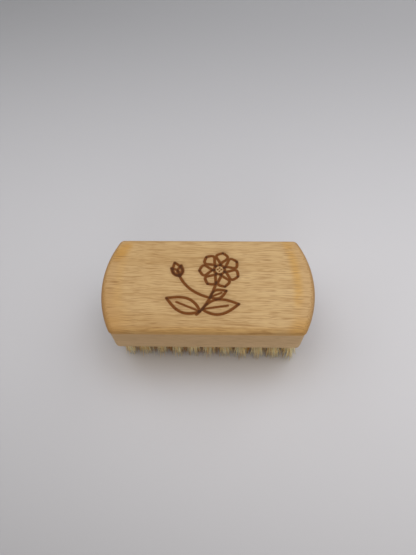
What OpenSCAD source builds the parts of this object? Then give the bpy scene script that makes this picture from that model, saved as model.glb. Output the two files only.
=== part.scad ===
// Wooden nail brush: one beech block with seven staggered rows of bristle tufts.
// Each tuft is folded over a flat wire anchor, which bites into the wall of its blind hole.
// The trimmed tips stand on z = 0, X runs along the block and -Y is its front.

/* [Block] */
// Length over the rounded ends
block_l = 95; // [84:1:130]
// Width across the long sides
block_w = 47.5; // [43:0.5:60]
// Thickness
block_t = 20; // [17:0.5:28]
// How far each rounded end bulges past its corners
end_bulge = 6.2; // [3:0.1:9]
// Radius of the upper edge
top_round = 3; // [1.5:0.1:5]
// Radius of the lower edge
bottom_round = 2.5; // [1:0.1:2.9]
// How far the sides stand back below the rounded upper edge
side_step = 0.5; // [0.1:0.05:0.6]
// Radius of the four upright corners
corner_round = 3; // [1:0.1:6]

/* [Holes] */
// Diameter of a tuft's hole
hole_d = 4; // [3.4:0.1:4.6]
// Depth of a tuft's hole, along its axis
hole_depth = 9; // [6:0.5:12]
// From one hole to the next in its row
tuft_pitch = 7.35; // [6.6:0.05:9]
// From a long side to the holes of the row beside it
side_inset = 5.6; // [5.5:0.1:7]
// Least distance from an end's crown to the last hole of an odd row
end_inset = 10.5; // [9:0.1:14]
// Outward lean of the outer rows, in degrees
outer_lean = 5; // [0:0.5:8]

/* [Tufts] */
// Free length of the bristles below the block, once trimmed
bristle_l = 16; // [10:0.5:22]
// What the shears took off the tips
trim = 0.5; // [0.2:0.1:1]
// Strands round the middle one of a tuft
ring_strands = 5; // [4:1:6]
// Width of a strand where it leaves the hole
strand_root_w = 0.8; // [0.5:0.05:0.85]
// Width of a strand at its tip
strand_tip_w = 0.7; // [0.4:0.05:0.8]
// How far a tip strays from its even place
tip_stray = 0.2; // [0:0.05:0.25]
// Least gap left among the tips of neighbouring tufts
tip_gap = 0.4; // [0.3:0.05:0.8]

/* [Anchors] */
// Width of the flat anchor wire, along the hole
anchor_w = 1.6; // [1:0.1:2.2]
// Thickness of the anchor wire
anchor_thick = 0.35; // [0.2:0.05:0.5]
// How far each end of an anchor bites into the wood
anchor_bite = 0.4; // [0.2:0.05:0.6]
// Turn of the anchors from the grain, so that they don't split the wood, in degrees
anchor_turn = 45; // [20:5:70]
// Thickness of the bristles' fold, between an anchor and the end of its hole
fold_thick = 0.9; // [0.6:0.1:1.4]

/* [Hidden] */

rows = 7;
middle_row = (rows - 1) / 2;
row_pitch = (block_w - 2 * side_inset) / (rows - 1);
odd_row_tufts = floor((block_l - 2 * end_inset) / tuft_pitch) + 1;
root_clearance = 0.1;
root_d = hole_d - 2 * root_clearance;
// How far the folded root stops short of the hole's mouth, and how deep the strands run into it
root_recess = 0.5;
strand_hold = 1;
// Least wood-side margin round the strands inside their root
root_margin = 0.15;
end_r = (pow(block_w / 2, 2) + pow(end_bulge, 2)) / (2 * end_bulge);
end_x = block_l / 2 - end_r;
// The axis of an upright corner, and the direction from it in which its end's arc begins, in degrees
corner_y = block_w / 2 - corner_round;
corner_x = end_x + sqrt(pow(end_r - corner_round, 2) - pow(corner_y, 2));
corner_turn = asin(corner_y / (end_r - corner_round));
overrun = 1;
strand_top = bristle_l + root_recess + strand_hold;
// Half the room of a tuft, to its nearest neighbour in its own row or the next one
tuft_room = min(tuft_pitch, norm([tuft_pitch / 2, row_pitch])) / 2;
root_ring_r = root_d / 2 - root_margin - strand_root_w / sqrt(2);
tip_ring_r = tuft_room - tip_gap / 2 - tip_stray - strand_tip_w / sqrt(2);
// A tuft's strands are turned by this much from one tuft to the next, in degrees
tuft_twist = 137.5;
stray_seed = 7133;
curve_facets = 96;
hole_facets = 32;

wood = [0.76, 0.61, 0.41];
bristle = [0.86, 0.82, 0.66];
steel = [0.72, 0.72, 0.70];

// Rows are counted from 0 at the front, and every other row holds one more tuft
function row_tufts(row) = odd_row_tufts + row % 2;
function lean(row) = outer_lean * (row - middle_row) / middle_row;
function tuft_x(row, i) = (i - (row_tufts(row) - 1) / 2) * tuft_pitch;
function row_y(row) = (row - middle_row) * row_pitch;
function axis_y(row, z) = row_y(row) - (z - bristle_l) * tan(lean(row));

// A ring strand's place round its tuft's axis at a height, and the stray of its tip
function ring_place(r, angle) = [r * cos(angle), r * sin(angle)];
function stray(row, i, k) = let (seed = stray_seed + 1000 * row + 20 * i + k) tip_stray * rands(-1, 1, 2, seed);
function strand_r(k, z) =
    k == 0 ? 0 : root_ring_r + (tip_ring_r - root_ring_r) * (strand_top - z) / (strand_top + trim);

// The four corners of a strand at a height
function strand_ring(row, i, k, z, w) =
    let (
        angle = 360 * k / ring_strands + tuft_twist * (i + row),
        tip_share = (strand_top - z) / strand_top,
        middle = [tuft_x(row, i), axis_y(row, z)] + ring_place(strand_r(k, z), angle)
            + tip_share * stray(row, i, k) * (k == 0 ? 2 : 1)
    )
    [for (c = [0 : 3]) let (p = middle + ring_place(w / sqrt(2), angle + 45 + 90 * c)) [p.x, p.y, z]];

// Places its children at a hole's mouth, with Z along the hole
module at_hole(row, i) {
    translate([tuft_x(row, i), row_y(row), bristle_l])
        rotate([lean(row), 0, 0])
            rotate([0, 0, anchor_turn])
                children();
}

module at_row(row) {
    for (i = [0 : row_tufts(row) - 1])
        at_hole(row, i)
            children();
}

// What the cutter takes off an edge of the block's section, which lies at x = reach
module edge_waste(reach) {
    translate([reach - top_round, block_t - top_round])
        difference() {
            square(top_round + overrun);
            circle(r = top_round, $fn = curve_facets);
        }
    translate([reach - side_step, -overrun])
        square([side_step + overrun, block_t - top_round + overrun]);
    translate([reach - side_step - bottom_round, bottom_round])
        mirror([0, 1])
            difference() {
                square(bottom_round + overrun);
                circle(r = bottom_round, $fn = curve_facets);
            }
}

// The block's length of moulding, before its ends are cut
module moulding() {
    translate([0, 0, bristle_l])
        rotate([90, 0, 90])
            linear_extrude(height = block_l + 2 * overrun, center = true)
                difference() {
                    translate([-block_w / 2, 0])
                        square([block_w, block_t]);
                    edge_waste(block_w / 2);
                    mirror([1, 0])
                        edge_waste(block_w / 2);
                }
}

// All that lies inside the arc of the right-hand end
module within_end() {
    translate([end_x, 0, bristle_l])
        rotate_extrude($fn = 4 * curve_facets)
            difference() {
                square([end_r, block_t]);
                edge_waste(end_r);
            }
    translate([-block_l, -block_w, bristle_l - overrun])
        cube([block_l + end_x, 2 * block_w, block_t + 2 * overrun]);
}

// What is sanded off an upright corner over a height, down to a radius round the corner's axis
module corner_waste(r, z, h) {
    translate([corner_x, corner_y, bristle_l + z])
        linear_extrude(height = h)
            difference() {
                polygon([[0, 0], block_w * [cos(corner_turn), sin(corner_turn)], [block_w, block_w], [0, block_w]]);
                circle(r = r, $fn = curve_facets);
            }
}

module corner_wastes() {
    step_z = block_t - top_round;
    for (end = [0, 1], side = [0, 1])
        mirror([end, 0, 0])
            mirror([0, side, 0]) {
                corner_waste(corner_round, step_z, top_round + overrun);
                corner_waste(corner_round - side_step, -overrun, step_z + overrun);
            }
}

module anchor() {
    translate([-hole_d / 2 - anchor_bite, -anchor_thick / 2, hole_depth - fold_thick - anchor_w])
        cube([hole_d + 2 * anchor_bite, anchor_thick, anchor_w]);
}

module hole() {
    translate([0, 0, -overrun])
        cylinder(d = hole_d, h = hole_depth + overrun, $fn = hole_facets);
}

// The folded end of a tuft, with the anchor's slot through it
module root() {
    difference() {
        translate([0, 0, root_recess])
            cylinder(d = root_d, h = hole_depth - root_recess, $fn = hole_facets);
        anchor();
    }
}

module strand(row, i, k) {
    top = strand_ring(row, i, k, strand_top, strand_root_w);
    tip = strand_ring(row, i, k, 0, strand_tip_w);
    sides = [for (c = [0 : 3]) let (d = (c + 1) % 4) each [[c, 4 + c, 4 + d], [c, 4 + d, d]]];
    polyhedron(points = concat(tip, top), faces = concat([[0, 1, 2], [0, 2, 3], [4, 6, 5], [4, 7, 6]], sides));
}

module tuft_row(row) {
    color(bristle)
        for (i = [0 : row_tufts(row) - 1]) {
            union() {
                at_hole(row, i)
                    root();
                for (k = [0 : ring_strands])
                    strand(row, i, k);
            }
        }
}

module anchor_row(row) {
    color(steel)
        at_row(row)
            anchor();
}

module block() {
    color(wood)
        difference() {
            intersection() {
                moulding();
                within_end();
                mirror([1, 0, 0])
                    within_end();
            }
            corner_wastes();
            for (row = [0 : rows - 1])
                at_row(row) {
                    hole();
                    anchor();
                }
        }
}

module front_row_tufts() { tuft_row(0); }
module second_row_tufts() { tuft_row(1); }
module third_row_tufts() { tuft_row(2); }
module middle_row_tufts() { tuft_row(3); }
module fifth_row_tufts() { tuft_row(4); }
module sixth_row_tufts() { tuft_row(5); }
module back_row_tufts() { tuft_row(6); }

module front_row_anchors() { anchor_row(0); }
module second_row_anchors() { anchor_row(1); }
module third_row_anchors() { anchor_row(2); }
module middle_row_anchors() { anchor_row(3); }
module fifth_row_anchors() { anchor_row(4); }
module sixth_row_anchors() { anchor_row(5); }
module back_row_anchors() { anchor_row(6); }

block();
front_row_tufts();
second_row_tufts();
third_row_tufts();
middle_row_tufts();
fifth_row_tufts();
sixth_row_tufts();
back_row_tufts();
front_row_anchors();
second_row_anchors();
third_row_anchors();
middle_row_anchors();
fifth_row_anchors();
sixth_row_anchors();
back_row_anchors();
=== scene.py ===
import math

import bmesh
import bpy
import numpy as np
from mathutils import Matrix, Vector
from mathutils.geometry import delaunay_2d_cdt


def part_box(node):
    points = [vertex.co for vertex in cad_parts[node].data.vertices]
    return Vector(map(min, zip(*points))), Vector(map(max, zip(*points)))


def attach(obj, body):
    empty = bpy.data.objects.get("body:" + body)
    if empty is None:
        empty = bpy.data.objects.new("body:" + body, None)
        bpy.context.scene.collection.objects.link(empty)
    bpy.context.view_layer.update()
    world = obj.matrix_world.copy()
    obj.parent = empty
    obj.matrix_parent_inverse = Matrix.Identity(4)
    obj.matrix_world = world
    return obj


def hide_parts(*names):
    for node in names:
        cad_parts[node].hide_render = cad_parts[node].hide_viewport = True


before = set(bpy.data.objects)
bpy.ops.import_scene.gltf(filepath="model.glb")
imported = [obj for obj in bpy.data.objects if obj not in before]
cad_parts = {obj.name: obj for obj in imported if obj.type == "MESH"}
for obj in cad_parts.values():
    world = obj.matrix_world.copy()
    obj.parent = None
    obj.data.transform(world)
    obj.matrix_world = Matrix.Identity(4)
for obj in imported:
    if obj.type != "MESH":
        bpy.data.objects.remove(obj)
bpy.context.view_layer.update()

# The script works in millimetres and writes its meshes in metres
MM = 0.001

# The block, as its solid has it
BLOCK_LOW, BLOCK_HIGH = (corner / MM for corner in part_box("block"))
UNDERSIDE = BLOCK_LOW.z
TOP = BLOCK_HIGH.z
HALF_W = BLOCK_HIGH.y
HALF_L = 47.5
END_BULGE = 6.2
TOP_ROUND = 3.0
BOTTOM_ROUND = 2.5
SIDE_STEP = 0.5
CORNER_ROUND = 3.0
STEP_Z = TOP - TOP_ROUND
END_R = (HALF_W ** 2 + END_BULGE ** 2) / (2 * END_BULGE)
END_X = HALF_L - END_R

# What sanding leaves of the sharpest corners, and takes off the edges of the step
CORNER_LEAST = 0.35
STEP_BREAK = 0.12

# The holes and tufts, as their solids have them
ROWS = ("front_row", "second_row", "third_row", "middle_row", "fifth_row", "sixth_row", "back_row")
MIDDLE_ROW = (len(ROWS) - 1) / 2
TUFT_PITCH = 7.35
SIDE_INSET = 5.6
ROW_PITCH = 2 * (HALF_W - SIDE_INSET) / (len(ROWS) - 1)
ODD_ROW_TUFTS = 11
OUTER_LEAN = math.radians(5.0)
HOLE_R = 2.0
HOLE_DEPTH = 9.0
ANCHOR_TURN = math.radians(45.0)
ANCHOR_THICK = 0.35
FOLD_THICK = 0.9

# The bristles: each is folded over its anchor, so both of its ends show
HAIRPINS = 60
BRISTLE_R = 0.14
BUNDLE_R = 1.8
TIP_SPREAD_R = 3.2
TIP_STRAY = 1.6
TIP_UNEVEN = 5.5

# How use has bent the tufts: the tips are swept to the right by the first value, and by the second one more
# for each millimetre that their tuft stands right of the middle, or less where it stands left
SWEEP = 0.7
SWEEP_GROWTH = 0.036

# How far each row's tips are tucked in towards the back: in full left of the first place, less and less to
# the second one, and not at all right of it
TUCKS = (1.9, 0.0, 0.0, 0.0, 0.0, 0.0, 0.0)
TUCK_FROM = -36.0
TUCK_TO = 32.0

# How far each row's tips are pushed to the back, or to the front where it is below zero. Between these two
# distances from the middle, both the push and the growth of the sweep come to an end
PUSHES = (0.0, -3.6, -2.6, -1.0, 0.0, 0.8, -0.4)
PUSHED_WITHIN = (36.8, 40.0)

# The photograph's frame and the camera that the block's outline in it gives
PHOTO_H = 555
FOCAL_PX = 433.9
VIEW_ELEVATION = math.radians(59.67)
VIEW_TURN = math.radians(2.22)
VIEW_ROLL = math.radians(-1.56)
VIEW_DISTANCE = 193.39
VIEW_AIM = (0.11, 2.62, TOP)
SENSOR = 36.0
NEAREST_SEEN = 0.01


def tufts_in(row):
    return ODD_ROW_TUFTS + row % 2


def lean_of(row):
    return OUTER_LEAN * (row - MIDDLE_ROW) / MIDDLE_ROW


def row_y(row):
    return (row - MIDDLE_ROW) * ROW_PITCH


def tuft_x(row, i):
    return (i - (tufts_in(row) - 1) / 2) * TUFT_PITCH


def srgb(red, green, blue):
    """A colour that is written as it shows on a screen, 0 to 255."""
    linear = [((c / 255 + 0.055) / 1.055) ** 2.4 if c > 10 else c / 255 / 12.92 for c in (red, green, blue)]
    return (*linear, 1.0)


class Graph:
    """A node tree that is being written."""

    def __init__(self, tree):
        self.tree = tree

    def node(self, kind, settings=None, values=None, out=0):
        """Adds a node, sets its settings first and then its sockets, and returns one of its outputs."""
        made = self.tree.nodes.new(kind)
        for name, setting in (settings or {}).items():
            setattr(made, name, setting)
        for name, value in (values or {}).items():
            if isinstance(value, Wire):
                self.tree.links.new(value.socket, made.inputs[name])
            else:
                made.inputs[name].default_value = value
        return Wire(self, made.outputs[out]) if made.outputs else made

    def outputs(self, kind, settings=None, values=None):
        """Adds a node in the same way, and returns all of its outputs."""
        made = self.node(kind, settings, values).socket.node
        return [Wire(self, socket) for socket in made.outputs]


class Wire:
    """A node's output. Sums with it add Math nodes."""

    def __init__(self, graph, socket):
        self.graph = graph
        self.socket = socket

    def maths(self, operation, *terms, clamp=False):
        settings = {"operation": operation, "use_clamp": clamp}
        return self.graph.node("ShaderNodeMath", settings, dict(enumerate(terms)))

    def __add__(self, other):
        return self.maths("ADD", self, other)

    def __radd__(self, other):
        return self.maths("ADD", other, self)

    def __sub__(self, other):
        return self.maths("SUBTRACT", self, other)

    def __rsub__(self, other):
        return self.maths("SUBTRACT", other, self)

    def __mul__(self, other):
        return self.maths("MULTIPLY", self, other)

    def __rmul__(self, other):
        return self.maths("MULTIPLY", other, self)

    def __truediv__(self, other):
        return self.maths("DIVIDE", self, other)

    def __rtruediv__(self, other):
        return self.maths("DIVIDE", other, self)

    def __pow__(self, other):
        return self.maths("POWER", self, other)

    def __rpow__(self, other):
        return self.maths("POWER", other, self)

    def __neg__(self):
        return self.maths("MULTIPLY", self, -1.0)

    def sine(self):
        return self.maths("SINE", self)

    def cosine(self):
        return self.maths("COSINE", self)

    def size(self):
        return self.maths("ABSOLUTE", self)

    def held(self):
        """The value, kept from 0 to 1."""
        return self.maths("ADD", self, 0.0, clamp=True)

    def kept_between(self, low, high):
        return self.maths("MINIMUM", self.maths("MAXIMUM", self, low), high)

    def parts(self):
        """A vector's three parts."""
        return self.graph.outputs("ShaderNodeSeparateXYZ", None, {0: self})

    def length(self):
        """How long a vector is."""
        return self.graph.node("ShaderNodeVectorMath", {"operation": "LENGTH"}, {0: self}, out="Value")


def smooth(graph, value, low, high):
    """0 at low, 1 at high, and smooth between."""
    settings = {"interpolation_type": "SMOOTHSTEP"}
    values = {"Value": value, "From Min": low, "From Max": high}
    return graph.node("ShaderNodeMapRange", settings, values)


def vector(graph, x, y, z):
    return graph.node("ShaderNodeCombineXYZ", None, {0: x, 1: y, 2: z})


def distance(graph, x, y):
    return vector(graph, x, y, 0.0).length()


def attribute(graph, name):
    """A value that the mesh keeps at each of its points."""
    return graph.node("ShaderNodeAttribute", {"attribute_name": name}, out="Fac")


def blend_colours(graph, share, first, second):
    return graph.node("ShaderNodeMix", {"data_type": "RGBA"}, {0: share, 6: first, 7: second}, out=2)


def tinted(graph, colour, *layers):
    """The colour under layers, each a share and a tint, the last one on top."""
    for share, tint in layers:
        colour = blend_colours(graph, share, colour, tint)
    return colour


def noise(graph, place, scale, detail, roughness=0.5):
    values = {"Vector": place, "Scale": scale, "Detail": detail, "Roughness": roughness}
    return graph.node("ShaderNodeTexNoise", None, values)


def stretched_noise(graph, parts, rates, detail, roughness=0.5):
    """Noise that changes at one rate along the block and at another across it."""
    x, y, z = parts
    along, across = rates
    return noise(graph, vector(graph, x * along, y * across, z * across), 1.0, detail, roughness)


def new_material(name):
    """A material with a Principled shader, its graph, and the place of each point in millimetres."""
    material = bpy.data.materials.new(name)
    material.use_nodes = True
    graph = Graph(material.node_tree)
    shader = material.node_tree.nodes["Principled BSDF"]
    spot = graph.node("ShaderNodeTexCoord", out="Object")
    spot = graph.node("ShaderNodeVectorMath", {"operation": "SCALE"}, {0: spot, "Scale": 1 / MM})
    return material, graph, shader, spot


def feed(graph, node, name, wire):
    graph.tree.links.new(wire.socket, node.inputs[name])


def mesh_object(name, mesh, material):
    piece = bpy.data.objects.new(name, mesh)
    bpy.context.collection.objects.link(piece)
    mesh.materials.clear()
    mesh.materials.append(material)
    return piece


# The burned ornament: a flower, a bud and leaves on a stem, in millimetres on the top face
LINE_W = 1.3
RIB_W = 1.0
BURN_DEPTH = 0.28
BURN_EDGE = 0.14
STEM = ((-4.5, -15.5), (2.5, -9.0), (5.2, 6.5))
HEAD = (5.2, 6.8)
STEM_STOP = 6.4
EYE_R = 2.4
EYE_DOTS = 4
DOT_AWAY = 0.85
DOT_R = 0.38
DOT_L = 0.05
PETALS = 7
FIRST_PETAL = 0.5
PETAL_L = 9.0
PETAL_HALF_W = 2.65
PETAL_FULLEST = 0.68
LEAF_FULLEST = 0.45
RIB_SHARE = 0.7
# A leaf's place along the stem, its direction in degrees, its length and its half width
LEAVES = (
    (0.10, 157.0, 16.0, 3.5),
    (0.16, 9.0, 16.0, 3.6),
    (0.47, 24.0, 7.6, 2.1),
)
# The bud's stalk, and the bud's direction in degrees
STALK = ((0.7, -7.4), (-9.0, -4.6), (-12.6, 3.4))
BUD_TURN = 110.0
BUD_LEAVES = ((0.0, 7.4, 2.0), (24.0, 5.6, 1.2), (-24.0, 5.6, 1.2))
# How many points its curves have
STEM_POINTS = 30
STALK_POINTS = 20
EDGE_POINTS = 17
EYE_POINTS = 24

# Each line chars the wood up to this many half widths from its middle, and what their sum has over the
# second value shows. Beside a line the wood is scorched, and the scorch fades over the third
CHAR_REACH = 2.4
CHAR_FROM = 0.85
SCORCH_REACH = 0.45

# More than any distance on the block, the least square of a length to divide by, and how close points touch
FAR = 1e3
TINY = 1e-9
TOUCHING = 1e-7


def pointing(turn):
    return np.array([math.cos(turn), math.sin(turn)])


def curve_points(curve, steps):
    """Points along a curve that leaves its first point towards its second and ends in its third."""
    first, second, third = (np.array(point) for point in curve)
    t = np.linspace(0, 1, steps)[:, None]
    return (1 - t) ** 2 * first + 2 * t * (1 - t) * second + t * t * third


def leaf_edges(base, turn, length, half_width, fullest=LEAF_FULLEST):
    """The two edges of a leaf or petal, widest at a share of its length."""
    way = pointing(turn)
    across = np.array([-way[1], way[0]])
    steps = np.linspace(0, 1, EDGE_POINTS)
    rib = base + np.outer(steps * length, way)
    bulge = np.outer(np.sin(np.pi * steps ** (math.log(0.5) / math.log(fullest))) * half_width, across)
    return [rib + bulge, rib - bulge]


def ornament_strokes():
    """Every burned line, as its points and its half width."""
    stem = curve_points(STEM, STEM_POINTS)
    stalk = curve_points(STALK, STALK_POINTS)
    head = np.array(HEAD)
    lines = []
    ribs = []
    for place, turn, length, half_width in LEAVES:
        base = stem[round(place * (len(stem) - 1))]
        turn = math.radians(turn)
        lines += leaf_edges(base, turn, length, half_width)
        ribs.append(np.array([base, base + RIB_SHARE * length * pointing(turn)]))
    for turn, length, half_width in BUD_LEAVES:
        lines += leaf_edges(stalk[-1], math.radians(BUD_TURN + turn), length, half_width)
    for i in range(PETALS):
        turn = 2 * math.pi * i / PETALS + FIRST_PETAL
        base = head + EYE_R * pointing(turn)
        lines += leaf_edges(base, turn, PETAL_L - EYE_R, PETAL_HALF_W, PETAL_FULLEST)
    round_eye = np.linspace(0, 2 * math.pi, EYE_POINTS + 1)
    lines.append(head + EYE_R * np.stack([np.cos(round_eye), np.sin(round_eye)], -1))
    below_head = stem[np.hypot(*(stem - head).T) > STEM_STOP]
    dots = [head + DOT_AWAY * pointing(turn) for turn in round_eye[:-1:EYE_POINTS // EYE_DOTS]]
    return ([(line, LINE_W / 2) for line in lines + [below_head, stalk]]
            + [(rib, RIB_W / 2) for rib in ribs]
            + [(np.array([dot, dot + DOT_L]), DOT_R) for dot in dots])


def burn_at(points, strokes):
    """How burned, charred and scorched each point of the top is (0 to 1), and how far from any line."""
    burned = np.zeros(len(points))
    total = np.zeros(len(points))
    clear = np.full(len(points), FAR)
    for line, half_width in strokes:
        away = np.full(len(points), FAR)
        for a, b in zip(line[:-1], line[1:]):
            along = np.clip(((points - a) @ (b - a)) / max((b - a) @ (b - a), TINY), 0, 1)
            away = np.minimum(away, np.hypot(*(points - a - np.outer(along, b - a)).T))
        inside = np.clip((half_width + BURN_EDGE - away) / (2 * BURN_EDGE), 0, 1)
        inside = inside * inside * (3 - 2 * inside)
        burned = np.maximum(burned, inside)
        total += inside * np.clip(1 - away / (CHAR_REACH * half_width), 0, 1)
        clear = np.minimum(clear, away - half_width)
    charred = np.clip(total - CHAR_FROM, 0, 1)
    scorched = np.exp(-np.clip(clear, 0, None) / SCORCH_REACH)
    return burned, charred, scorched, clear


# How many points the block's outline has along an end, round a corner and along a side, and how many its
# edge has in the lower rounding and in the upper one, which starts at this angle. One more ring of points
# lies this far below the step
OUTLINE_POINTS = (49, 7, 32)
LOWER_POINTS = 8
UPPER_POINTS = 14
UPPER_FROM = math.radians(6)
BELOW_STEP = 0.6

# The top's mesh: coarse points stay this clear of its rim and of the ornament's lines, and fine ones fill
# the lines and this much beside them
COARSE_PITCH = 2.4
COARSE_RIM = 0.8
COARSE_CLEAR = 0.9
FINE_PITCH = 0.2
FINE_HALF = (24, 20)
FINE_CLEAR = 0.35

# How many corners a hole has, how close points are joined, and from which angle on an edge is sharp
HOLE_SIDES = 24
WELD = 0.002
SHARP = math.radians(38)


def outline(inset):
    """The block's plan, this far inside its largest outline, anticlockwise from the front right corner."""
    end_r = END_R - inset
    corner_r = max(CORNER_ROUND - inset, CORNER_LEAST)
    corner_y = HALF_W - inset - corner_r
    corner_x = END_X + math.sqrt((end_r - corner_r) ** 2 - corner_y ** 2)
    turn = math.atan2(corner_y, corner_x - END_X)
    end_points, corner_points, side_points = OUTLINE_POINTS
    crown = np.linspace(-turn, turn, end_points)
    bend = np.linspace(turn, math.pi / 2, corner_points)[1:]
    side = np.linspace(corner_x, -corner_x, side_points)[1:-1]
    end = np.stack([END_X + end_r * np.cos(crown), end_r * np.sin(crown)], -1)
    corner = np.stack([corner_x + corner_r * np.cos(bend), corner_y + corner_r * np.sin(bend)], -1)
    back = np.stack([side, np.full(len(side), HALF_W - inset)], -1)
    half = np.concatenate([end, corner, back, corner[::-1] * (-1, 1)])
    return np.concatenate([half, -half])


def edge_profile():
    """The block's edge from the underside up: how far inside the largest outline, and how high."""
    lower = [(SIDE_STEP + BOTTOM_ROUND * (1 - math.sin(a)), UNDERSIDE + BOTTOM_ROUND * (1 - math.cos(a)))
             for a in np.linspace(0, math.pi / 2, LOWER_POINTS)]
    step = [(SIDE_STEP, STEP_Z - BELOW_STEP), (SIDE_STEP, STEP_Z - STEP_BREAK),
            (SIDE_STEP - STEP_BREAK, STEP_Z), (STEP_BREAK, STEP_Z), (0, STEP_Z + STEP_BREAK)]
    upper = [(TOP_ROUND * (1 - math.cos(a)), STEP_Z + TOP_ROUND * math.sin(a))
             for a in np.linspace(UPPER_FROM, math.pi / 2, UPPER_POINTS)]
    return lower + step + upper


def filled(loops, inner_points=()):
    """Triangles that fill the first loop and take in the other loops and the points inside it."""
    points = [tuple(p) for loop in loops for p in loop] + [tuple(p) for p in inner_points]
    edges = []
    start = 0
    for loop in loops:
        edges += [(start + i, start + (i + 1) % len(loop)) for i in range(len(loop))]
        start += len(loop)
    inside = [list(range(len(loops[0])))]
    spots, _, faces, *_ = delaunay_2d_cdt([Vector(p) for p in points], edges, inside, 1, TOUCHING)
    return np.array([tuple(p) for p in spots]), faces


def lattice(half_x, half_y, pitch):
    """An even triangular lattice over a rectangle."""
    rows = np.arange(-half_y, half_y, pitch * math.sqrt(3) / 2)
    columns = np.arange(-half_x, half_x, pitch)
    spots = [np.stack([columns + (i % 2) * pitch / 2, np.full(len(columns), y)], -1)
             for i, y in enumerate(rows)]
    return np.concatenate(spots)


def inside_plan(points, inset):
    """Which points lie this far inside the block's largest outline, its round corners apart."""
    reach = np.hypot(np.abs(points[:, 0]) - END_X, points[:, 1])
    return (reach < END_R - inset) & (np.abs(points[:, 1]) < HALF_W - inset)


def hole_rings(row, i):
    """The mouth of a hole on the underside and its end, as rings of points, and the middle of the end."""
    lean = lean_of(row)
    angles = np.linspace(0, 2 * math.pi, HOLE_SIDES, endpoint=False)
    around = HOLE_R * np.stack([np.cos(angles), np.sin(angles)], -1)
    centre = np.array([tuft_x(row, i), row_y(row), UNDERSIDE])
    mouth = np.stack([around[:, 0], around[:, 1] / math.cos(lean), np.zeros(HOLE_SIDES)], -1) + centre
    axis = np.array([0, -math.sin(lean), math.cos(lean)])
    flat = np.stack([around[:, 0], around[:, 1] * math.cos(lean), around[:, 1] * math.sin(lean)], -1)
    return mouth, flat + centre + axis * HOLE_DEPTH, centre + axis * HOLE_DEPTH


def ring_wall(start, count):
    """The faces between a ring of points and the next one."""
    return [(start + i, start + (i + 1) % count, start + count + (i + 1) % count, start + count + i)
            for i in range(count)]


def block_mesh(strokes):
    """The block: rounded edges, a carved top and an underside with its blind holes."""
    points, faces = [], []

    def add(new_points, new_faces):
        start = sum(len(p) for p in points)
        points.append(np.asarray(new_points, float).reshape(-1, 3))
        faces.extend(tuple(start + i for i in face) for face in new_faces)

    profile = edge_profile()
    rings = [outline(inset) for inset, _ in profile]
    count = len(rings[0])
    walls = [face for k in range(len(rings) - 1) for face in ring_wall(k * count, count)]
    levels = [np.column_stack([ring, np.full(count, z)]) for ring, (_, z) in zip(rings, profile)]
    add(np.concatenate(levels), walls)

    coarse = lattice(HALF_L, HALF_W, COARSE_PITCH)
    fine = lattice(*FINE_HALF, FINE_PITCH)
    fine = fine[burn_at(fine, strokes)[3] < FINE_CLEAR]
    clear = burn_at(coarse, strokes)[3] > COARSE_CLEAR
    coarse = coarse[inside_plan(coarse, TOP_ROUND + COARSE_RIM) & clear]
    spots, triangles = filled([rings[-1]], np.concatenate([coarse, fine]))
    add(np.column_stack([spots, TOP - BURN_DEPTH * burn_at(spots, strokes)[0]]), triangles)

    holes = [hole_rings(row, i) for row in range(len(ROWS)) for i in range(tufts_in(row))]
    spots, triangles = filled([rings[0][::-1]] + [mouth[:, :2] for mouth, _, _ in holes])
    middles = spots[np.array(triangles)].mean(1)
    open_here = np.zeros(len(triangles), bool)
    for row in range(len(ROWS)):
        for i in range(tufts_in(row)):
            open_here |= np.hypot(middles[:, 0] - tuft_x(row, i), middles[:, 1] - row_y(row)) < HOLE_R
    add(np.column_stack([spots, np.full(len(spots), UNDERSIDE)]),
        [face for face, hole in zip(triangles, open_here) if not hole])
    cap = [(HOLE_SIDES + i, HOLE_SIDES + (i + 1) % HOLE_SIDES, 2 * HOLE_SIDES) for i in range(HOLE_SIDES)]
    for mouth, end, end_centre in holes:
        add(np.concatenate([mouth, end, end_centre[None]]), ring_wall(0, HOLE_SIDES) + cap)

    mesh = bpy.data.meshes.new("beech_block")
    mesh.from_pydata((np.concatenate(points) * MM).tolist(), [], faces)
    work = bmesh.new()
    work.from_mesh(mesh)
    bmesh.ops.remove_doubles(work, verts=work.verts, dist=WELD * MM)
    bmesh.ops.recalc_face_normals(work, faces=work.faces)
    for face in work.faces:
        face.smooth = True
    for edge in work.edges:
        edge.smooth = len(edge.link_faces) == 2 and edge.calc_face_angle() < SHARP
    work.to_mesh(mesh)
    work.free()

    spots = np.empty(len(mesh.vertices) * 3)
    mesh.vertices.foreach_get("co", spots)
    spots = spots.reshape(-1, 3) / MM
    burned, charred, scorched, _ = burn_at(spots[:, :2], strokes)
    on_top = spots[:, 2] > TOP - TOP_ROUND / 2
    for name, values in (("burn", burned), ("char", charred), ("scorch", scorched)):
        mesh.attributes.new(name, "FLOAT", "POINT").data.foreach_set("value", values * on_top)
    return mesh


# Beech, as it shows under plain light; the side's tint is partly painted light, and the crease's tint is
# painted light
BEECH = srgb(185, 149, 98)
BEECH_PALE = srgb(206, 173, 124)
BEECH_DASH = srgb(150, 109, 59)
BEECH_DARK_DASH = srgb(130, 90, 44)
BEECH_GOLD = srgb(191, 144, 74)
BEECH_AMBER = srgb(204, 160, 92)
BEECH_TAN = srgb(186, 143, 92)
BEECH_RIM = srgb(158, 112, 60)
BEECH_SIDE_WITH_PAINTED_LIGHT = srgb(220, 187, 146)
BEECH_LOWER_EDGE = srgb(200, 160, 120)
BEECH_CREASE_LIGHT = srgb(230, 182, 120)
BURNED = srgb(111, 59, 14)
CHARRED = srgb(66, 30, 4)
BEECH_GLOSS = 0.2

# Where an end begins to show, and where it does in full, from the middle
TO_ENDS = (20.0, 38.0)

# How far the grain falls towards the front as it runs to the right, and swells and ripples aside
GRAIN_SLOPE = 0.025
GRAIN_SWELL = 2.2
GRAIN_SWELL_HIGH = 1.5
GRAIN_RIPPLE = 0.25

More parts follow.
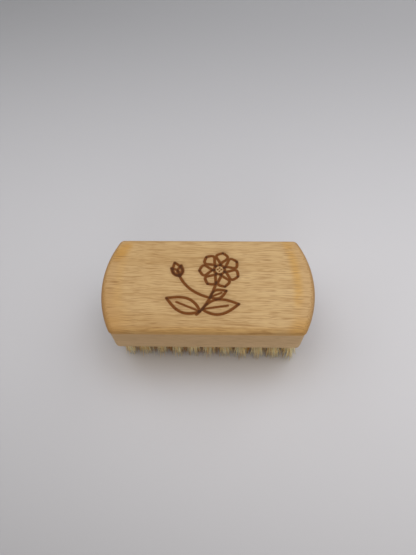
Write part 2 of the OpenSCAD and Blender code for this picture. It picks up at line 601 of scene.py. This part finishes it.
# How fast each of the wood's noises changes along the block and across it
SWELL = (0.045, 0.07)
RIPPLE = (0.17, 0.25)
STREAKS = (0.10, 2.90)
LONG_STREAKS = (0.04, 0.8)
BANDS = (0.012, 0.16)
CLOUDS = (0.12, 0.3)
FIBRES = (0.5, 9.0)
PATCHES = 0.9

# The dark dashes: their length, their width, and how far along their noise they begin
LONG_DASHES = (10.0, 0.48, 0.0)
SHORT_DASHES = (6.0, 0.37, 31.0)
STREAK_SHARE = 0.60
SHORT_DASH_SHARE = 0.70
LONG_DASH_SHARE = 0.82

# Golden marks on the top: an arc this far inside each rounded end and flatter than it, a stain in the left
# back corner, and one in each front corner. Two shares are those of the left end and of the right one
ARC_INSET = 7.8
ARC_HALF_W = 3.4
ARC_FLATTER = 30.0
ARC_SHARES = (0.30, 0.95)
CORNER_STAIN_INSET = 4.5
CORNER_STAIN_Y = 16.0
CORNER_STAIN_HALF = (3.4, 5.4)
FRONT_STAIN_SHARES = (0.25, 0.60)
END_ZONE_SHARES = (0.22, 0.28)
FRONT_LEFT_SHARE = 0.20
BACK_EDGE_SHARE = 0.35

# Darker marks: lines along the grain near the front, and the rims of both ends
DARK_LINE_SHARES = (0.40, 0.60)
RIM_SHARES = (0.46, 0.44)

# The shares of the tints of the side, which is partly painted light, of its lower edge, of the painted light
# on the crease at the step and of the scorched wood
SIDE_SHARE = 0.28
SIDE_CLOUD_SHARE = 0.30
LOWER_EDGE_SHARE = 0.6
CREASE_SHARE = 0.55
CREASE_HALF_W = 1.3
SCORCH_SHARE = 0.30

# The fine relief of the wood
RELIEF_STRENGTH = 0.35
RELIEF_DEPTH = 0.03


def dashes(graph, grain, length, width, start):
    """Short dark lines along the grain: how dark each point is, from 0 to 1."""
    x, y, z = grain
    stretched = vector(graph, x / length + start, y / width, z / width)
    settings = {"feature": "F1", "distance": "EUCLIDEAN"}
    away, tint, *_ = graph.outputs("ShaderNodeTexVoronoi", settings, {"Vector": stretched, "Scale": 1.0})
    strength = tint.parts()[0]
    return (1 - smooth(graph, away, 0.06, 0.38)) * smooth(graph, strength, 0.05, 0.9)


def stains(graph, parts, cloud, streak, long_streak):
    """The top's stains as layers of a share and a tint: those under the grain, and those over it."""
    # How far a point is from the centre of the nearer end's arc, and whether it is at the right
    x, y, _ = parts
    reach = distance(graph, x.size() - END_X, y)
    right = smooth(graph, x, -10.0, 10.0)

    def at_ends(shares):
        left_share, right_share = shares
        return right * (right_share - left_share) + left_share

    end_zone = smooth(graph, reach + cloud * 3.0, END_R - ARC_INSET - 0.5, END_R - ARC_INSET + 5.5)
    arc = distance(graph, x.size() - END_X + ARC_FLATTER, y) - (END_R - ARC_INSET + ARC_FLATTER)
    arc = (1 - smooth(graph, arc.size(), 0.0, ARC_HALF_W)) * smooth(graph, cloud, 0.20, 0.50)
    arc = arc * at_ends(ARC_SHARES) * (1 - smooth(graph, -y, 8.0, 13.0) * 0.75)
    corner = (((END_R - CORNER_STAIN_INSET - reach) / CORNER_STAIN_HALF[0]) ** 2
              + ((y - CORNER_STAIN_Y) / CORNER_STAIN_HALF[1]) ** 2 + (cloud + streak - 1.0) * 1.6)
    corner = (1 - smooth(graph, corner, 0.0, 1.3)) * (1 - right)
    front_corners = smooth(graph, reach, END_R - 8.5, END_R - 4.0) * smooth(graph, -y, 15.5, 19.5)
    front_left = (1 - smooth(graph, y, -12.0, 2.0)) * (1 - right)
    front_left = front_left * smooth(graph, reach + cloud * 4.0, END_R - 11.0, END_R - 6.0)
    middle = 1 - smooth(graph, x.size(), *TO_ENDS) * 0.7
    front_edge = smooth(graph, -y, HALF_W - 3.6, HALF_W - 1.0) * (0.25 + cloud * 0.48) * middle
    back_edge = smooth(graph, y, HALF_W - 3.0, HALF_W - 0.8)
    under_grain = (
        (end_zone * at_ends(END_ZONE_SHARES), BEECH_TAN),
        (arc, BEECH_AMBER),
        (corner, BEECH_GOLD),
        (front_corners * at_ends(FRONT_STAIN_SHARES), BEECH_GOLD),
        (front_left * FRONT_LEFT_SHARE, BEECH_GOLD),
        (front_edge, BEECH_GOLD),
        (back_edge * BACK_EDGE_SHARE, BEECH_GOLD),
    )

    dark_lines = smooth(graph, long_streak, 0.48, 0.62) * smooth(graph, -y, HALF_W - 7.0, HALF_W - 1.5)
    rim = smooth(graph, reach, END_R - 2.8, END_R - 0.2) * (1 - smooth(graph, -y, 12.0, HALF_W - 3.0) * 0.5)
    left_end = smooth(graph, reach, END_R - 10.0, END_R - 1.0) * (1 - right)
    left_end = left_end * (0.28 - smooth(graph, y, -10.0, 14.0) * 0.25)
    over_grain = (
        (dark_lines * middle * at_ends(DARK_LINE_SHARES), BEECH_DASH),
        ((rim * at_ends(RIM_SHARES) + left_end).held(), BEECH_RIM),
    )
    return under_grain, over_grain


def wood_material():
    material, graph, shader, spot = new_material("beech")
    parts = spot.parts()
    x, y, z = parts
    swell = stretched_noise(graph, parts, SWELL, 2.0) - 0.5
    ripple = stretched_noise(graph, parts, RIPPLE, 1.0) - 0.5
    grain_y = y + x * GRAIN_SLOPE + swell * GRAIN_SWELL + ripple * GRAIN_RIPPLE
    grain = (x, grain_y, z + swell * GRAIN_SWELL_HIGH)
    streak = stretched_noise(graph, grain, STREAKS, 2.0)
    long_streak = stretched_noise(graph, grain, LONG_STREAKS, 3.0, 0.6)
    band = stretched_noise(graph, grain, BANDS, 3.0, 0.55)
    fibre = stretched_noise(graph, grain, FIBRES, 3.0, 0.6)
    long_dashes = dashes(graph, grain, *LONG_DASHES)
    short_dashes = dashes(graph, grain, *SHORT_DASHES)
    cloud = stretched_noise(graph, parts, CLOUDS, 3.0, 0.6)

    def with_grain(colour):
        return tinted(
            graph, colour,
            (smooth(graph, streak, 0.46, 0.68) * STREAK_SHARE, BEECH_DASH),
            (short_dashes * SHORT_DASH_SHARE, BEECH_DASH),
            (long_dashes * LONG_DASH_SHARE, BEECH_DARK_DASH),
        )

    # Paler bands along the grain, and painted light: the top grows paler towards the right
    pale = smooth(graph, band, 0.3, 0.7) * 0.55 + smooth(graph, x, -40.0, 52.0) * 0.52
    plain = blend_colours(graph, pale, BEECH, BEECH_PALE)
    under_grain, over_grain = stains(graph, parts, cloud, streak, long_streak)
    top = tinted(graph, with_grain(tinted(graph, plain, *under_grain)), *over_grain)

    lower_edge = 1 - smooth(graph, z, UNDERSIDE + 1.0, UNDERSIDE + 2.4)
    # The sides are paler and greyer: partly the wood's own tone, partly painted light that stands in for
    # light from the front and off the floor
    side = tinted(
        graph, with_grain(plain),
        (cloud * SIDE_CLOUD_SHARE + SIDE_SHARE, BEECH_SIDE_WITH_PAINTED_LIGHT),
        (lower_edge * LOWER_EDGE_SHARE, BEECH_LOWER_EDGE),
    )
    # Painted light: the crease below the top's rounding is lightened, against the shade that the step casts
    # there
    crease_light = 1 - smooth(graph, (z - (STEP_Z - 0.1)).size(), 0.0, CREASE_HALF_W)

    burn, char, scorch = (attribute(graph, name) for name in ("burn", "char", "scorch"))
    patchy = noise(graph, spot, PATCHES, 3.0, 0.6)
    charred = (char + smooth(graph, patchy, 0.5, 0.75) * 0.5).held()
    colour = tinted(
        graph, top,
        (smooth(graph, STEP_Z - 0.2 - z, 0.0, 0.3), side),
        (crease_light * CREASE_SHARE, BEECH_CREASE_LIGHT),
        (scorch * SCORCH_SHARE, BURNED),
        (burn * (0.92 + patchy * 0.08), blend_colours(graph, charred, BURNED, CHARRED)),
    )
    feed(graph, shader, "Base Color", colour)
    feed(graph, shader, "Roughness", 0.52 + streak * 0.12 + burn * 0.25)
    height = fibre * 0.6 - long_dashes * 0.5 - short_dashes * 0.3 + burn * patchy * 1.5
    relief = {"Strength": RELIEF_STRENGTH, "Distance": RELIEF_DEPTH * MM, "Height": height}
    feed(graph, shader, "Normal", graph.node("ShaderNodeBump", None, relief))
    shader.inputs["Specular IOR Level"].default_value = BEECH_GLOSS
    return material


# The bristles, from pale to straw, with single brown ones, and dark brown painted shade at their roots under
# the block and in the rows behind the front one
BRISTLE_PALE = srgb(255, 247, 205)
BRISTLE_STRAW = srgb(252, 221, 150)
BRISTLE_BROWN = srgb(184, 121, 34)
BRISTLE_ROOT_SHADE = srgb(114, 74, 22)
BRISTLE_GLOSS = 0.15

WIRE_BRIGHT = srgb(196, 197, 196)
WIRE_DIM = srgb(150, 150, 148)

# How much painted shade browns each row, from the front one to the back one: the rows behind the front one
# stand in the shade of the block and of the front row
ROW_PAINTED_SHADE = (0.0, 0.92, 0.92, 0.88, 0.80, 0.50, 0.0)


def bristle_material():
    material, graph, shader, spot = new_material("bristle")
    shade, along, row_painted_shade = (attribute(graph, name) for name in ("shade", "along", "row_painted_shade"))
    mottle = noise(graph, spot, 0.35, 2.0)
    ends = smooth(graph, spot.parts()[0].size(), *TO_ENDS)
    # Single brown bristles, and painted shade that makes the rows browner towards the middle, where less
    # light comes in than at the ends
    brown_and_middle_shade = smooth(graph, shade, 0.80, 0.98) * 0.8 + mottle * 0.06 + (1 - ends) * 0.06
    colour = tinted(
        graph, BRISTLE_PALE,
        (smooth(graph, shade, 0.20, 0.75), BRISTLE_STRAW),
        (brown_and_middle_shade, BRISTLE_BROWN),
        # Painted shade: the rows behind the front one browned, and the roots darkened under the block, both
        # less at the ends, where more light comes in
        (row_painted_shade * smooth(graph, shade, 0.0, 0.16) * (1 - ends * 0.35), BRISTLE_BROWN),
        ((1 - smooth(graph, along, 0.0, 0.60)) * (0.75 - ends * 0.35), BRISTLE_ROOT_SHADE),
    )
    feed(graph, shader, "Base Color", colour)
    feed(graph, shader, "Roughness", 0.38 + shade * 0.15)
    shader.inputs["Specular IOR Level"].default_value = BRISTLE_GLOSS
    return material


def wire_material():
    material, graph, shader, spot = new_material("anchor_wire")
    drawn = noise(graph, spot, 6.0, 3.0)
    feed(graph, shader, "Base Color", blend_colours(graph, drawn, WIRE_BRIGHT, WIRE_DIM))
    feed(graph, shader, "Roughness", 0.3 + drawn * 0.2)
    shader.inputs["Metallic"].default_value = 1.0
    return material


# A row's named sizes, as the inputs of the node tree that makes its tufts
TUFT_INPUTS = {
    "NodeSocketInt": ("Tufts", "Hairpins", "Seed"),
    "NodeSocketFloat": (
        "Pitch", "Row Place", "Mouth Height", "Lean", "Anchor Depth", "Anchor Turn", "Anchor Gap",
        "Fold Height", "Bristle Radius", "Bundle Radius", "Tip Radius", "Tip Stray", "Tip Uneven", "Sweep",
        "Sweep Growth", "Tuck", "Tuck From", "Tuck To", "Push", "Pushed Within", "Unpushed Beyond",
        "Row Painted Shade",
    ),
    "NodeSocketMaterial": ("Material",),
}
GOLDEN_ANGLE = math.pi * (3 - math.sqrt(5))
FIRST_SEED = 3
SEEDS_A_ROW = 10

# Along a hairpin, from its fold at 0 to its tip at 1: where the fold ends, and which share of the leg is in
# the hole. A hairpin has this many sides, and this many steps from tip to tip
FOLD_SHARE = 1 / 3
HIDDEN_SHARE = 1 / 4
HAIRPIN_SIDES = 4
HAIRPIN_STEPS = 12

# How early the free length flares, how much it thins, and how high the lowest tip is
FLARE = 0.6
TAPER = 0.6
LOWEST_TIP = 0.02


def keep(graph, geometry, name, value, kind="FLOAT_VECTOR"):
    settings = {"data_type": kind, "domain": "POINT"}
    values = {"Geometry": geometry, "Name": name, "Value": value}
    return graph.node("GeometryNodeStoreNamedAttribute", settings, values)


def kept(graph, name, kind="FLOAT_VECTOR"):
    return graph.node("GeometryNodeInputNamedAttribute", {"data_type": kind}, {"Name": name})


def tuft_tree():
    """The node tree that makes a row of tufts, each of bristles that are folded over an anchor."""
    tree = bpy.data.node_groups.new("tuft_row", "GeometryNodeTree")
    tree.interface.new_socket("Geometry", in_out="OUTPUT", socket_type="NodeSocketGeometry")
    for kind, names in TUFT_INPUTS.items():
        for name in names:
            tree.interface.new_socket(name, in_out="INPUT", socket_type=kind)
    graph = Graph(tree)
    given = {wire.socket.name: wire for wire in graph.outputs("NodeGroupInput")}

    def random(low, high, seed, kind="FLOAT_VECTOR"):
        # The node has its own sockets for vectors and for single values
        lowest, highest, out = (0, 1, 0) if kind == "FLOAT_VECTOR" else (2, 3, 1)
        values = {lowest: low, highest: high, "Seed": given["Seed"] + seed}
        return graph.node("FunctionNodeRandomValue", {"data_type": kind}, values, out=out)

    first_x = (1 - given["Tufts"]) * given["Pitch"] * 0.5
    places = {
        "Count": given["Tufts"],
        "Start Location": vector(graph, first_x, given["Row Place"], given["Mouth Height"]),
        "Offset": vector(graph, given["Pitch"], 0, 0),
    }
    line = graph.node("GeometryNodeMeshLine", {"mode": "OFFSET", "count_mode": "TOTAL"}, places)
    line = keep(graph, line, "tmp_centre", graph.node("GeometryNodeInputPosition"))
    line = keep(graph, line, "tmp_turn", random(0.0, 2 * math.pi, 1, "FLOAT"), "FLOAT")
    copied = {"Geometry": line, "Amount": given["Hairpins"]}
    hairpins, number = graph.outputs("GeometryNodeDuplicateElements", {"domain": "POINT"}, copied)

    # Each hairpin has its own place in the tuft's round section, spread evenly as in a sunflower's head
    outward = ((number + 0.5) / given["Hairpins"]) ** 0.5
    angle = number * GOLDEN_ANGLE + kept(graph, "tmp_turn", "FLOAT")
    place = vector(graph, outward * angle.cosine(), outward * angle.sine(), 0.0)
    hairpins = keep(graph, hairpins, "tmp_place", place)
    hairpins = keep(graph, hairpins, "tmp_stray_a", random((-1.0, -1.0, 0.0), (1.0, 1.0, 1.0), 2))
    hairpins = keep(graph, hairpins, "tmp_stray_b", random((-1.0, -1.0, 0.0), (1.0, 1.0, 1.0), 3))
    hairpins = keep(graph, hairpins, "shade", random(0.0, 1.0, 4, "FLOAT"), "FLOAT")

    section = {"Vertices": HAIRPIN_SIDES, "Side Segments": HAIRPIN_STEPS, "Radius": 1.0, "Depth": 2.0}
    straight = graph.node("GeometryNodeMeshCylinder", {"fill_type": "NGON"}, section)
    straight = keep(graph, straight, "tmp_local", graph.node("GeometryNodeInputPosition"))
    strands = graph.node("GeometryNodeInstanceOnPoints", None, {"Points": hairpins, "Instance": straight})
    strands = graph.node("GeometryNodeRealizeInstances", None, {"Geometry": strands})

    # Each point knows where it is along its hairpin (-1 to 1) and round it, and is bent to its place
    side_x, side_y, along = kept(graph, "tmp_local").parts()
    along_leg = ((along.size() - FOLD_SHARE) / (1 - FOLD_SHARE)).held()
    in_hole = (along_leg / HIDDEN_SHARE).held()
    free = ((along_leg - HIDDEN_SHARE) / (1 - HIDDEN_SHARE)).held()
    fold = ((along / FOLD_SHARE + 1) * 0.5).held() * math.pi - math.pi / 2
    fold_sine, fold_cosine = fold.sine(), fold.cosine()
    first_leg = smooth(graph, along, -0.01, 0.01)
    legs = zip(kept(graph, "tmp_stray_a").parts(), kept(graph, "tmp_stray_b").parts())
    stray_u, stray_v, stray_w = (a * first_leg + b * (1 - first_leg) for a, b in legs)

    # In the hole, u runs along the anchor, v across it and w up the hole
    place_u, place_v, _ = kept(graph, "tmp_place").parts()
    growth = free * (1 + FLARE - free * FLARE)
    spread = given["Bundle Radius"] * (1 - growth) + given["Tip Radius"] * growth
    thick = given["Bristle Radius"] * (1 - free ** 3 * TAPER)
    wander = free * free.maths("SQRT", free) * given["Tip Stray"]
    u = place_u * spread + stray_u * stray_u.size() * wander
    leg_v = place_v.size() * spread + given["Anchor Gap"] * (1 - free)
    v = (leg_v + stray_v * stray_v.size() * wander) * fold_sine
    turn_c, turn_s = given["Anchor Turn"].cosine(), given["Anchor Turn"].sine()
    across = u * turn_s + v * turn_c

    lean_c, lean_s = given["Lean"].cosine(), given["Lean"].sine()
    tip_height = stray_w ** 2 * given["Tip Uneven"] + LOWEST_TIP * MM
    free_drop = (given["Mouth Height"] - tip_height + across * lean_s) / lean_c
    fold_rise = (given["Bristle Radius"] + place_v.size() * given["Fold Height"]) * fold_cosine
    w = given["Anchor Depth"] * (1 - in_hole) - free_drop * free + fold_rise

    u = u + side_x * thick
    v = v + side_y * thick * fold_sine
    w = w + side_y * thick * fold_cosine
    x = u * turn_c - v * turn_s
    y = u * turn_s + v * turn_c
    centre_x, centre_y, centre_z = kept(graph, "tmp_centre").parts()
    bend = free * (2 - free)
    tuck = (1 - smooth(graph, centre_x, given["Tuck From"], given["Tuck To"])) * given["Tuck"]
    pushed = 1 - smooth(graph, centre_x.size(), given["Pushed Within"], given["Unpushed Beyond"])
    tuck = (tuck + given["Push"] * pushed) * bend
    sweep = (given["Sweep"] + centre_x * given["Sweep Growth"] * pushed) * bend
    bent = vector(graph, centre_x + x + sweep, centre_y + y * lean_c - w * lean_s + tuck,
                  centre_z + y * lean_s + w * lean_c)

    strands = keep(graph, strands, "along", free, "FLOAT")
    strands = keep(graph, strands, "row_painted_shade", given["Row Painted Shade"], "FLOAT")
    strands = graph.node("GeometryNodeSetPosition", None, {"Geometry": strands, "Position": bent})
    strands = graph.node("GeometryNodeSetShadeSmooth", None, {"Geometry": strands, "Shade Smooth": True})
    for name in ("tmp_centre", "tmp_turn", "tmp_place", "tmp_stray_a", "tmp_stray_b", "tmp_local"):
        strands = graph.node("GeometryNodeRemoveAttribute", None, {"Geometry": strands, "Name": name})
    looks = {"Geometry": strands, "Material": given["Material"]}
    strands = graph.node("GeometryNodeSetMaterial", None, looks)
    graph.node("NodeGroupOutput", None, {"Geometry": strands})
    return tree


def tuft_row(tree, row, material):
    """One row of tufts as a plain mesh."""
    sizes = {
        "Tufts": tufts_in(row), "Hairpins": HAIRPINS, "Pitch": TUFT_PITCH * MM,
        "Row Place": row_y(row) * MM, "Mouth Height": UNDERSIDE * MM, "Lean": lean_of(row),
        "Anchor Depth": (HOLE_DEPTH - FOLD_THICK) * MM, "Anchor Turn": ANCHOR_TURN,
        "Anchor Gap": (ANCHOR_THICK / 2 + BRISTLE_R) * MM,
        "Fold Height": (FOLD_THICK - 3 * BRISTLE_R) * MM, "Bristle Radius": BRISTLE_R * MM,
        "Bundle Radius": (BUNDLE_R - ANCHOR_THICK / 2 - 2 * BRISTLE_R) * MM, "Tip Radius": TIP_SPREAD_R * MM,
        "Tip Stray": TIP_STRAY * MM, "Tip Uneven": TIP_UNEVEN * MM, "Sweep": SWEEP * MM,
        "Sweep Growth": SWEEP_GROWTH, "Tuck": TUCKS[row] * MM, "Tuck From": TUCK_FROM * MM,
        "Tuck To": TUCK_TO * MM, "Push": PUSHES[row] * MM, "Pushed Within": PUSHED_WITHIN[0] * MM,
        "Unpushed Beyond": PUSHED_WITHIN[1] * MM, "Row Painted Shade": ROW_PAINTED_SHADE[row],
        "Seed": SEEDS_A_ROW * row + FIRST_SEED, "Material": material,
    }
    name = ROWS[row] + "_bristles"
    maker = bpy.data.objects.new(name + "_maker", bpy.data.meshes.new(name + "_maker"))
    bpy.context.collection.objects.link(maker)
    growing = maker.modifiers.new("tufts", "NODES")
    growing.node_group = tree
    sockets = {item.name: item.identifier for item in tree.interface.items_tree if item.in_out == "INPUT"}
    for size, value in sizes.items():
        growing[sockets[size]] = value
    evaluated = maker.evaluated_get(bpy.context.evaluated_depsgraph_get())
    mesh = bpy.data.meshes.new_from_object(evaluated)
    maker.modifiers.clear()
    bpy.data.objects.remove(maker)
    mesh.name = name
    return mesh_object(name, mesh, material)


# The floor and half of its width in metres. It is pale, with painted light and shade over what the camera
# sees of it, brighter to the right and darker towards the back: its share of the brighter colour is a sum of
# terms, each a factor times powers of the way to the right and to the back, in hundreds of millimetres
FLOOR_HALF = 1.6
FLOOR_UNIT = 100.0
FLOOR_ROUGHNESS = 0.85
FLOOR_GLOSS = 0.2
FLOOR_BRIGHT = srgb(218, 216, 218)
FLOOR_DIM = srgb(150, 149, 150)
FLOOR_TERMS = (
    (0.764, 0, 0),
    (0.104, 1, 0),
    (0.034, 0, 1),
    (-0.052, 1, 1),
    (-0.189, 0, 2),
    (0.014, 1, 2),
    (0.038, 0, 3),
)
FLOOR_SEEN_X = (-190.0, 180.0)
FLOOR_SEEN_Y = (-110.0, 310.0)

# The backdrop, which the floor passes into between these distances, for rays that look and don't light
BACKDROP = srgb(184, 182, 184)
FLOOR_FADES = (366.0, 600.0)
SEEING_RAYS = ("Is Camera Ray", "Is Glossy Ray", "Is Transmission Ray")


def seen(graph):
    """1 for a ray that looks from the camera, off a gloss or through something clear, 0 for any other."""
    first, second, third = (graph.node("ShaderNodeLightPath", out=ray) for ray in SEEING_RAYS)
    return (first + second + third).held()


def floor():
    mesh = bpy.data.meshes.new("floor")
    corners = [(sx * FLOOR_HALF, sy * FLOOR_HALF, 0) for sx, sy in ((-1, -1), (1, -1), (1, 1), (-1, 1))]
    mesh.from_pydata(corners, [], [(0, 1, 2, 3)])
    material, graph, shader, spot = new_material("floor_paper")
    x, y, _ = spot.parts()
    x = x.kept_between(*FLOOR_SEEN_X) / FLOOR_UNIT
    y = y.kept_between(*FLOOR_SEEN_Y) / FLOOR_UNIT
    # Painted light and shade: the floor's share of its brighter colour over the part that the camera sees
    share = 0.0
    for factor, right_power, back_power in FLOOR_TERMS:
        term = factor
        for coordinate in [x] * right_power + [y] * back_power:
            term = coordinate * term
        share = term + share
    feed(graph, shader, "Base Color", blend_colours(graph, share, FLOOR_DIM, FLOOR_BRIGHT))
    shader.inputs["Roughness"].default_value = FLOOR_ROUGHNESS
    shader.inputs["Specular IOR Level"].default_value = FLOOR_GLOSS
    faded = smooth(graph, spot.length(), *FLOOR_FADES) * seen(graph)
    paper = Wire(graph, shader.outputs["BSDF"])
    backdrop = graph.node("ShaderNodeEmission", None, {"Color": BACKDROP, "Strength": 1.0})
    shown = graph.node("ShaderNodeMixShader", None, {0: faded, 1: paper, 2: backdrop})
    feed(graph, material.node_tree.nodes["Material Output"], "Surface", shown)
    mesh_object("floor", mesh, material)


# Soft lamps all round, as in a light tent: each one's name, its height and its direction from the back,
# clockwise, both in degrees, its width in metres, its power and its tint
EVEN = (1.0, 1.0, 1.0)
COOL = (0.93, 1.0, 1.10)
WARM = (1.14, 1.0, 0.84)
LAMP_DISTANCE = 0.9
LAMPS = (
    ("top", 90, 0, 0.55, 0.74, EVEN),
    ("high_back", 66, 0, 0.45, 1.04, COOL),
    ("high_right_back", 66, 60, 0.45, 1.20, COOL),
    ("high_right_front", 66, 120, 0.45, 0.40, WARM),
    ("high_front", 66, 180, 0.45, 0.47, WARM),
    ("high_left_front", 66, 240, 0.45, 0.53, WARM),
    ("high_left_back", 66, 300, 0.45, 0.95, COOL),
    ("low_right_back", 40, 45, 0.50, 0.92, EVEN),
    ("low_right", 40, 90, 0.50, 0.78, EVEN),
    ("low_right_front", 40, 135, 0.50, 0.41, WARM),
    ("low_front", 25, 180, 0.50, 1.30, EVEN),
    ("low_left", 40, 270, 0.50, 0.84, EVEN),
    ("low_left_back", 40, 315, 0.50, 0.63, EVEN),
)
WORLD_COLOUR = (1.0, 1.0, 1.0, 1.0)
WORLD_STRENGTH = 0.039


def lights():
    for name, height, turn, width, power, colour in LAMPS:
        height, turn = math.radians(height), math.radians(turn)
        flat = math.cos(height)
        place = Vector((flat * math.sin(turn), flat * math.cos(turn), math.sin(height))) * LAMP_DISTANCE
        lamp = bpy.data.lights.new(name, "AREA")
        lamp.shape = "DISK"
        lamp.size = width
        lamp.energy = power
        lamp.color = colour
        holder = bpy.data.objects.new(name, lamp)
        holder.location = place
        holder.rotation_euler = place.to_track_quat("Z", "Y").to_euler()
        bpy.context.collection.objects.link(holder)


def surroundings():
    """Even light from all round, and the pale backdrop for the rays that look past the floor."""
    world = bpy.data.worlds.new("studio")
    world.use_nodes = True
    world.node_tree.nodes.clear()
    graph = Graph(world.node_tree)
    light = graph.node("ShaderNodeBackground", None, {"Color": WORLD_COLOUR, "Strength": WORLD_STRENGTH})
    backdrop = graph.node("ShaderNodeBackground", None, {"Color": BACKDROP, "Strength": 1.0})
    mixed = graph.node("ShaderNodeMixShader", None, {0: seen(graph), 1: light, 2: backdrop})
    graph.node("ShaderNodeOutputWorld", None, {"Surface": mixed})
    bpy.context.scene.world = world


def camera():
    back = Vector((math.sin(VIEW_TURN) * math.cos(VIEW_ELEVATION),
                   -math.cos(VIEW_TURN) * math.cos(VIEW_ELEVATION), math.sin(VIEW_ELEVATION)))
    right = (-back).cross(Vector((0, 0, 1))).normalized()
    up = right.cross(-back)
    cosine, sine = math.cos(VIEW_ROLL), math.sin(VIEW_ROLL)
    rolled = Matrix((right * cosine + up * sine, up * cosine - right * sine, back)).transposed().to_4x4()
    rolled.translation = (Vector(VIEW_AIM) + back * VIEW_DISTANCE) * MM
    lens = bpy.data.cameras.new("camera")
    lens.sensor_fit = "VERTICAL"
    lens.sensor_height = SENSOR
    lens.lens = SENSOR * FOCAL_PX / PHOTO_H
    lens.clip_start = NEAREST_SEEN
    holder = bpy.data.objects.new("camera", lens)
    holder.matrix_world = rolled
    bpy.context.collection.objects.link(holder)
    bpy.context.scene.camera = holder


def brush():
    beech = wood_material()
    block = mesh_object("beech_block", block_mesh(ornament_strokes()), beech)
    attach(block, "root")
    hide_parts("block")

    bristle = bristle_material()
    tree = tuft_tree()
    for row, name in enumerate(ROWS):
        tufts = tuft_row(tree, row, bristle)
        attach(tufts, "root")
        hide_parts(name + "_tufts")

    wire = wire_material()
    for name in ROWS:
        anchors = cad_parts[name + "_anchors"]
        anchors.data.materials.clear()
        anchors.data.materials.append(wire)


camera()
lights()
surroundings()
floor()
brush()
bpy.context.scene.view_settings.view_transform = "Standard"
